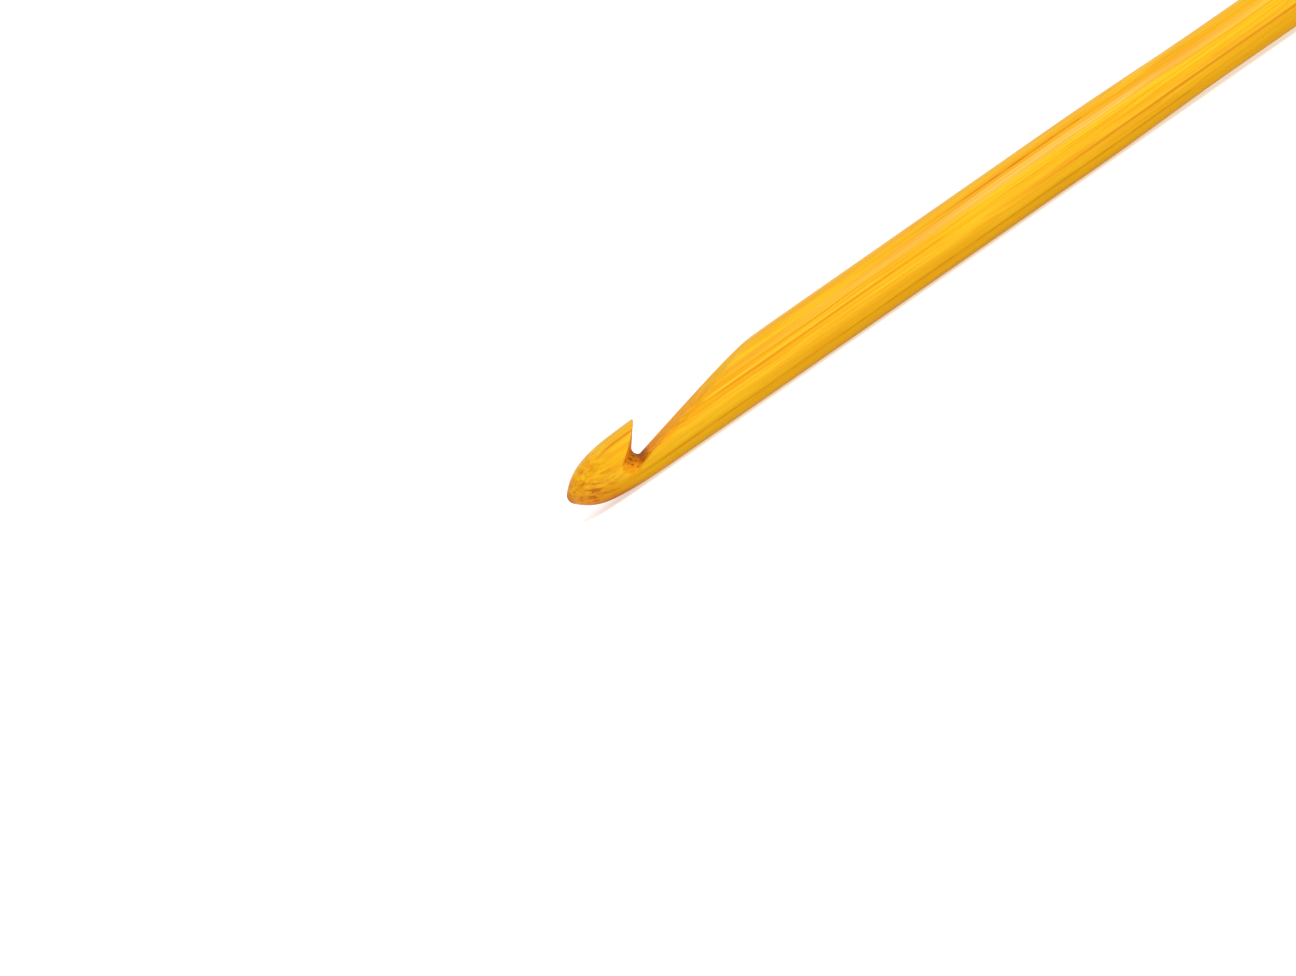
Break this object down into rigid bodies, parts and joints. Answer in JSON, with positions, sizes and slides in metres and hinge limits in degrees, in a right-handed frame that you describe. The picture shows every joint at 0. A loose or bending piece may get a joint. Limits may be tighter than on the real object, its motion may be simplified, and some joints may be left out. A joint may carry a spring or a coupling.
{
  "type": "crochet hook",
  "caption": "Slim crochet hook carved from one bamboo stick, with an in-line hooked head, a round working shaft and a slimmer round handle.",
  "frame": {"origin": "on the surface that the hook lies on, under the middle of its length", "axes": "+X runs from the nose to the butt, and the mouth faces +Z"},
  "size_m": [0.15, 0.006, 0.006],
  "materials": {
    "bamboo": "satin, waxed"
  },
  "bodies": {
    "root": {"hook": "bamboo"}
  },
  "joints": []
}
